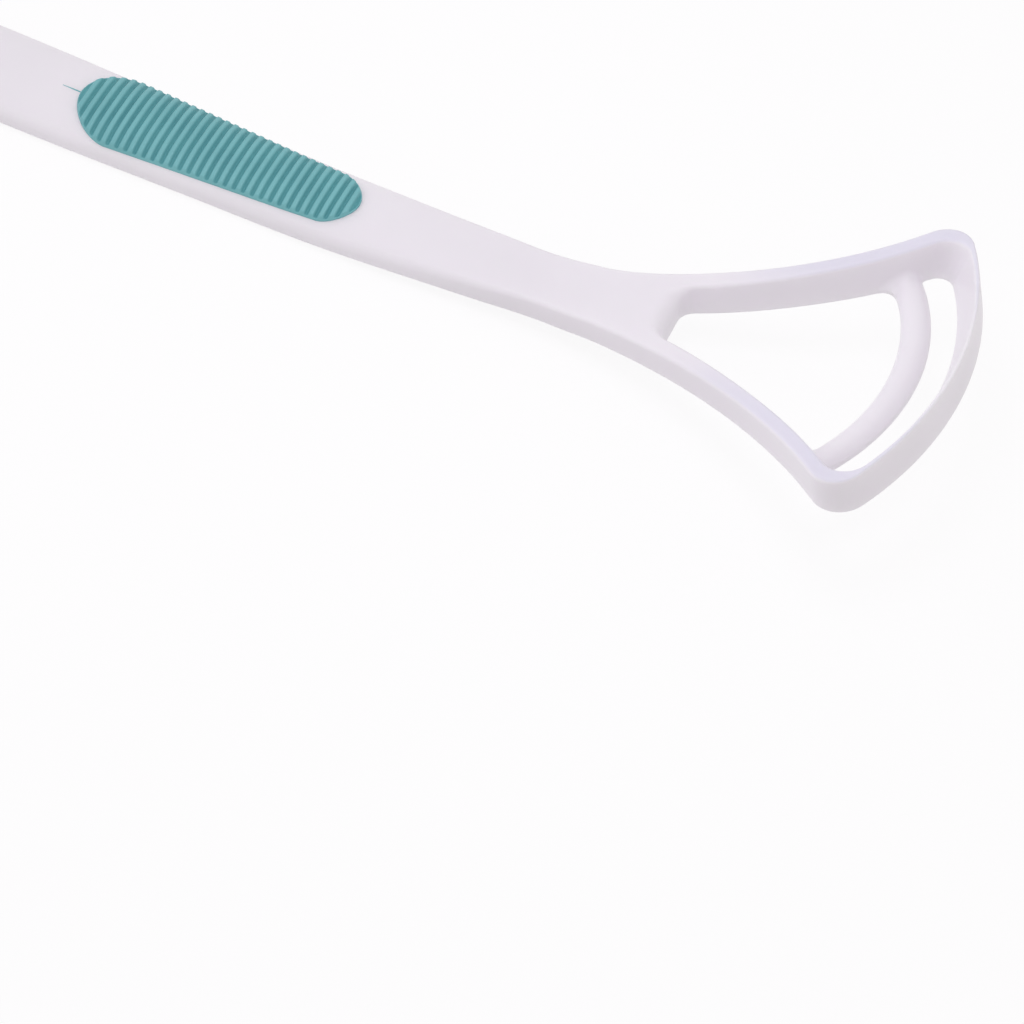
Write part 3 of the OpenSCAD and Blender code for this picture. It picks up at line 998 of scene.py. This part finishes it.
def pad_plan(s):
    """Half the taper's width at s, and how far s is into the round of an end."""
    w = mix(PAD_REAR, PAD_FRONT, (s - PAD_R) / PAD_LENGTH) / 2
    e = min(1, (s - PAD_R) / (PAD_REAR / 2), (PAD_F - s) / (PAD_FRONT / 2))
    return w, e


def pad_half(s):
    w, e = pad_plan(s)
    return w * max(0, 1 - (1 - e) ** END_POWER) ** (1 / END_POWER)


def pad_level(s, y):
    """1 along the pad's middle, 0 on its outline."""
    w, e = pad_plan(s)
    far = max(0, 1 - e) ** END_POWER + (abs(y) / w) ** END_POWER
    return 1 - far ** (1 / END_POWER)


def pad_depth(s, y):
    """How far a point lies inside the outline: its level over the level's slope."""
    gx = (pad_level(s + PROBE, y) - pad_level(s - PROBE, y)) / (2 * PROBE)
    gy = (pad_level(s, abs(y) + PROBE) - pad_level(s, abs(y) - PROBE)) / (2 * PROBE)
    return pad_level(s, y) / max(LEAST_SLOPE, math.hypot(gx, gy))


PAD_MIDDLE = (PAD_F + PAD_R) / 2
print("depth at the pad's middle:", round(pad_depth(PAD_MIDDLE, 0.0), 2), "mm")

# %% [markdown]
# Each rib is a wave with its top and bottom flattened by a smooth step, as the photo
# shows crests about as wide as the grooves. Near the outline the wave blends into a
# plain border, which is a little higher than the grooves, so that the ribs grow out of
# it.

# %% Ribs
RIB_COUNT, RIB_HEIGHT, PAD_BORDER = 31, 0.4, 0.45
RIB_PITCH = (PAD_LENGTH - 2 * PAD_BORDER) / RIB_COUNT
WAVE_MIDDLE, WAVE_SPAN = 0.48, 0.72


def rib(s):
    """A broad crest with soft shoulders, and a groove of about the same width."""
    u = (s - PAD_R - PAD_BORDER) / RIB_PITCH
    if u < 0 or u > RIB_COUNT:
        return 0.0
    return ease((WAVE_MIDDLE - 0.5 * math.cos(2 * math.pi * u)) / WAVE_SPAN)


print("rib pitch", round(RIB_PITCH, 3), "mm")

# %% The pad's face
PAD_PROUD, PAD_SKIRT, BORDER_ROUND, BORDER_LIFT = 0.2, 0.5, 0.14, 0.1
RIB_START, RIB_FADE = 0.04, 0.18


def quarter_round(d, r):
    """The drop of a quarter round of radius r, at a distance d inside its edge."""
    return r - math.sqrt(max(0, r * r - (r - max(0, d)) ** 2)) if d < r else 0.0


def crown(s, y):
    _, h, a = spine(s)
    return h + top_z(s, grip_half(s), y) * math.cos(a)


def pad_point(s, y, deep=0.0):
    """A point of the pad's face, and its share of the crest colour: grooves get painted
    shade.
    """
    d = pad_depth(s, y)
    inside_ribs = rise(d, RIB_START, RIB_FADE)
    lift = mix(BORDER_LIFT, RIB_HEIGHT * rib(s), inside_ribs)
    z = crown(s, y) + PAD_PROUD - quarter_round(d, BORDER_ROUND) + lift - deep
    return Vector((spine(s)[0] - MID_X, y, z)) * MM, 1 - inside_ribs * (1 - rib(s))


SPOTS_A_RIB = 20
heights = [pad_point(PAD_MIDDLE + RIB_PITCH * i / SPOTS_A_RIB, 0.0)[0].z
           for i in range(SPOTS_A_RIB)]
RIB_STANDS = (max(heights) - min(heights)) / MM
print("a rib stands", round(RIB_STANDS, 2), "mm above its groove")

# %% Rows of the pad, with the grooves' painted shade
ROWS_A_RIB, PAD_COLS = 12, 44
PAD_ROWS = ROWS_A_RIB * RIB_COUNT
END_CROWD, END_GAP, PLAN_DIGITS = 0.12, 0.004, 7


def plan_key(p):
    """A point's place in plan, by which its paleness is found again on the mesh."""
    return round(p.x, PLAN_DIGITS), round(p.y, PLAN_DIGITS)


def sunk(row):
    """An end row let down to the level of its two ends: it closes an end of a sheet."""
    return [Vector((p.x, p.y, row[0].z)) for p in row]


table, crests = [], {}
for i in range(PAD_ROWS + 1):
    w = i / PAD_ROWS
    s = mix(PAD_R, PAD_F, mix(w, (1 - math.cos(math.pi * w)) / 2, END_CROWD))
    s = min(max(s, PAD_R + END_GAP), PAD_F - END_GAP)
    half = pad_half(s)
    row = [pad_point(s, -half, PAD_SKIRT)[0]]
    for j in range(PAD_COLS + 1):
        p, light_share = pad_point(s, -half * math.cos(math.pi * j / PAD_COLS))
        row.append(p)
        crests[plan_key(p)] = light_share
    table.append(row + [pad_point(s, half, PAD_SKIRT)[0]])
table = [sunk(table[0])] + table + [sunk(table[-1])]
print("the pad's sheet has", len(table), "rows")

# %% [markdown]
# ## The pad's material
# Satin elastomer. The grooves get painted shade: a darker colour than the crests, added
# to the shade that the ribs give themselves. The mesh stores how much of the crest
# colour each of its points gets, and the material reads it from there. A shader could
# also work the ribs out from the height, but the crown and the slope of the neck would
# then have to be taken off first.

# %% Teal elastomer
TEAL, nodes, link, bsdf = material("Teal elastomer")
set_sockets(bsdf, IOR=1.47, Sheen_Weight=0.12, Sheen_Roughness=0.4)
# Crests get the lighter colour and grooves the darker one, which is painted shade.
crest = mesh_value(nodes, "crest")
high = use(nodes, TONE, Light=(0.167, 0.441, 0.468, 1), Shade=(0.148, 0.402, 0.429, 1),
           Scale=220.0)
deep = use(nodes, TONE, Light=(0.091, 0.325, 0.35, 1), Shade=(0.072, 0.283, 0.313, 1),
           Scale=260.0)
blend = nodes.new("ShaderNodeMix")
blend.data_type = "RGBA"
link(crest, blend.inputs["Factor"])
link(deep.outputs["Color"], blend.inputs["A"])
link(high.outputs["Color"], blend.inputs["B"])
link(blend.outputs["Result"], bsdf.inputs["Base Color"])
surface(nodes, link, bsdf, crest, rough=(0.6, 0.46),
        skin=use(nodes, SKIN, Ripple=0.2, Peel=0.5, Marks=0.15), strength=0.5,
        depth=0.06 * MM)
print("teal material has", len(nodes), "nodes")

# %% [markdown]
# ## The pad
# The sheet has a short skirt all round that runs down into the crown, as an overmoulded
# pad does, so no gap can show between rubber and plastic. Its share of the crest
# colour, against the grooves' painted shade, goes onto the mesh's points.

# %% Pad
bm = bmesh.new()
sheet(bm, table)
pad = piece("ribbed_pad", bm, TEAL)
# Low values give the grooves painted shade.
mark(pad.data, "crest", lambda v: crests.get(plan_key(v.co), 0.0))

# %% [markdown]
# ## The feed line
# Behind the pad a thin line of the same elastomer shows where that shot was fed. It is
# a low round strip on the crown that thins out to its tail.

# %% Feed line
FEED_LENGTH, FEED_WIDTH, FEED_PROUD, FEED_SINK = 2.4, 0.22, 0.05, 0.1
FEED_TAIL, FEED_GROW, FEED_FULL = 0.55, 0.5, 0.6
FEED_ROWS, FEED_COLS = 24, 8
table = []
for i in range(FEED_ROWS + 1):
    s = mix(PAD_R - FEED_LENGTH, PAD_R + PAD_BORDER, i / FEED_ROWS)
    slim = mix(FEED_TAIL, 1, rise(i / FEED_ROWS, 0, FEED_GROW))
    row = []
    for j in range(FEED_COLS + 1):
        w = math.pi * j / FEED_COLS
        y = -FEED_WIDTH / 2 * slim * math.cos(w)
        tall = (FEED_SINK + FEED_PROUD * slim) * math.sin(w) ** FEED_FULL
        z = crown(s, y) - FEED_SINK + tall
        row.append(Vector((spine(s)[0] - MID_X, y, z)) * MM)
    table.append(row)
table = [sunk(table[0])] + table + [sunk(table[-1])]
bm = bmesh.new()
sheet(bm, table)
feed = piece("feed_line", bm, TEAL)
mark(feed.data, "crest", lambda v: 1.0)
print("the feed line is", FEED_LENGTH, "mm long behind the pad")

# %% [markdown]
# ## Hanging the pieces on the frame
# The moulding stands for the solid body, the pad and its feed line for the solid pad.
# Weighted normals keep the flat faces flat beside their small rounds.

# %% Frame
LARGE_FACE_WEIGHT = 60
for obj in (body, pad, feed):
    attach(obj, "root")
    mod = obj.modifiers.new("Weighted normals", "WEIGHTED_NORMAL")
    mod.keep_sharp = True
    mod.weight = LARGE_FACE_WEIGHT
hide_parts("body")
for obj in (pad, feed):
    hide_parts("grip_pad")
print("hung on the frame:", [obj.name for obj in (body, pad, feed)])

# %% [markdown]
# ## Studio
# A product shot on white: the background has to be pure white, though the tool is lit
# only to its own plain tones. So the floor and the world show white to the camera, and
# to glossy and transmission rays, but light the tool with less. The floor keeps a share
# of its own shading, and with it a faint shadow.


# %% Background seen by the camera
def seen_rays(nodes, link, share):
    """Is share for camera, glossy and transmission rays, and 0 for all others."""
    path = nodes.new("ShaderNodeLightPath")
    seen = path.outputs["Is Camera Ray"]
    for ray in ("Is Glossy Ray", "Is Transmission Ray"):
        seen = maths(nodes, link, "MAXIMUM", seen, path.outputs[ray])
    return maths(nodes, link, "MULTIPLY", seen, share)


def show_plain(nodes, link, share, lit, plain, output):
    """Mix the plain shader in for the rays that see the background."""
    either = nodes.new("ShaderNodeMixShader")
    link(seen_rays(nodes, link, share), either.inputs["Fac"])
    link(lit, either.inputs[1])
    link(plain, either.inputs[2])
    link(either.outputs["Shader"], nodes[output].inputs["Surface"])


PURE_WHITE = (1, 0.995, 1, 1)
FLOOR_GLOW, WORLD_GLOW = 0.9, 1.0
print("the floor shows", round(1 - FLOOR_GLOW, 2), "of its own shading, for the shadow")

# %% Floor
FLOOR_HALF, FLOOR_DROP = 3.0, 0.02 * MM
FLOOR, nodes, link, bsdf = material("Studio floor")
set_sockets(bsdf, Base_Color=(0.92, 0.91, 0.92, 1), Roughness=0.9)
glow = set_sockets(nodes.new("ShaderNodeEmission"), Color=PURE_WHITE, Strength=1.0)
show_plain(nodes, link, FLOOR_GLOW, bsdf.outputs["BSDF"], glow.outputs["Emission"],
           "Material Output")
bm = bmesh.new()
bmesh.ops.create_grid(bm, x_segments=2, y_segments=2, size=FLOOR_HALF)
bmesh.ops.translate(bm, verts=bm.verts, vec=(0, 0, -FLOOR_DROP))
floor = piece("floor", bm, FLOOR, smooth=False)

# %% [markdown]
# ## Lights
# An even sky fills every side, and lamps give the form. They were set from renders with
# one light at a time, compared with the tones of the photo: the sides of the grip are
# darker than its crown, and the arm's wall that faces left is paler than the corner
# beside it.


# %% Lamps, with sizes and places in metres
def area(name, at, size, watts, colour):
    lamp = bpy.data.lights.new(name, "AREA")
    lamp.shape = "RECTANGLE"
    lamp.size, lamp.size_y = size
    lamp.energy = watts
    lamp.color = colour
    obj = bpy.data.objects.new(name, lamp)
    bpy.context.collection.objects.link(obj)
    obj.location = at
    obj.rotation_euler = (-Vector(at)).to_track_quat("-Z", "Y").to_euler()


area("Above the neck", at=(0.025, 0.0, 0.165), size=(0.07, 0.07), watts=0.074,
     colour=(0.91, 0.89, 1.0))
area("Left", at=(-0.5, 0.0, 0.25), size=(0.4, 0.3), watts=0.6,
     colour=(0.9, 0.88, 1.0))
area("Left front", at=(-0.25, -0.4, 0.2), size=(0.3, 0.25), watts=0.17,
     colour=(0.92, 0.9, 1.0))
area("Right", at=(0.5, 0.05, 0.2), size=(0.3, 0.3), watts=0.22,
     colour=(0.92, 0.9, 1.0))

# %% Sky
world = bpy.data.worlds.new("Studio")
bpy.context.scene.world = world
world.use_nodes = True
nodes, link = world.node_tree.nodes, world.node_tree.links.new
sky = set_sockets(nodes["Background"], Color=(1.0, 0.99, 0.96, 1), Strength=0.65)
plain = set_sockets(nodes.new("ShaderNodeBackground"), Color=PURE_WHITE, Strength=1.0)
show_plain(nodes, link, WORLD_GLOW, sky.outputs["Background"],
           plain.outputs["Background"], "World Output")
print("the sky's strength is", round(sky.inputs["Strength"].default_value, 2))

# %% [markdown]
# ## Camera
# The photo's view was found by fitting one pinhole camera to the outlines of the tool:
# a long lens looks down on the tool by some fifty degrees, and is rolled a little.

# %% Camera
CAMERA_AT = (111.66, -289.26, 352.82)
CAMERA_TURN = (36.8519, -6.584, 23.7009)
LENS, SENSOR = 140.625, 36.0
cam = bpy.data.cameras.new("Photo view")
cam.lens, cam.sensor_width = LENS, SENSOR
cam.clip_start, cam.clip_end = 0.01, 20
eye = bpy.data.objects.new("Photo view", cam)
bpy.context.collection.objects.link(eye)
eye.location = Vector(CAMERA_AT) * MM
eye.rotation_euler = [math.radians(a) for a in CAMERA_TURN]
bpy.context.scene.camera = eye
bpy.context.scene.view_settings.view_transform = "Standard"
look = eye.rotation_euler.to_matrix() @ Vector((0, 0, -1))
print("camera looks along", [round(v, 3) for v in look])
